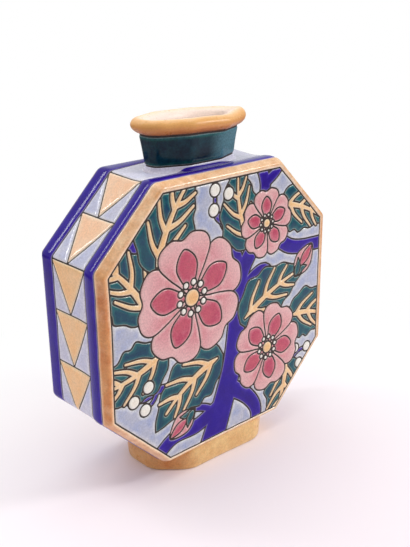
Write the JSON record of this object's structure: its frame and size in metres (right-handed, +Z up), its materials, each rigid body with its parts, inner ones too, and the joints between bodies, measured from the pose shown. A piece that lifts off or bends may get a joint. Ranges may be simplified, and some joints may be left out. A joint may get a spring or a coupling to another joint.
{
  "type": "octagonal flask vase",
  "caption": "Flat-sided octagonal flask vase in enamelled faience with a flared neck, rolled lip and hollow foot.",
  "frame": {"origin": "on the table under the middle of the foot", "axes": "+Z up; -Y out of the front picture; +X to the right as the front is seen"},
  "size_m": [0.1834, 0.062, 0.2205],
  "materials": {
    "cream_glazed_clay": "gloss",
    "lip_ochre_enamel": "gloss",
    "foot_gold_ochre_glaze": "gloss",
    "picture_enamel": "gloss",
    "frame_ochre_enamel": "gloss",
    "cobalt_enamel": "gloss",
    "lavender_enamel": "gloss",
    "teal_enamel": "gloss",
    "triangle_peach_enamel": "gloss"
  },
  "bodies": {
    "root": {"back_blue_edge": "cobalt_enamel", "back_half_shell": "cream_glazed_clay", "back_ochre_frame": "frame_ochre_enamel", "back_picture": "picture_enamel", "foot_ring": "foot_gold_ochre_glaze", "front_blue_edge": "cobalt_enamel", "front_half_shell": "cream_glazed_clay", "front_ochre_frame": "frame_ochre_enamel", "front_picture": "picture_enamel", "left_lower_triangle_1": "triangle_peach_enamel", "left_lower_triangle_2": "triangle_peach_enamel", "left_side_triangle_1": "triangle_peach_enamel", "left_side_triangle_2": "triangle_peach_enamel", "left_side_triangle_3": "triangle_peach_enamel", "left_upper_triangle_1": "triangle_peach_enamel", "left_upper_triangle_2": "triangle_peach_enamel", "left_wall_ground": "lavender_enamel", "lip_roll": "lip_ochre_enamel", "neck_collar": "cream_glazed_clay", "neck_enamel": "teal_enamel", "neck_fillet": "lavender_enamel", "right_lower_triangle_1": "triangle_peach_enamel", "right_lower_triangle_2": "triangle_peach_enamel", "right_side_triangle_1": "triangle_peach_enamel", "right_side_triangle_2": "triangle_peach_enamel", "right_side_triangle_3": "triangle_peach_enamel", "right_upper_triangle_1": "triangle_peach_enamel", "right_upper_triangle_2": "triangle_peach_enamel", "right_wall_ground": "lavender_enamel"}
  },
  "joints": []
}
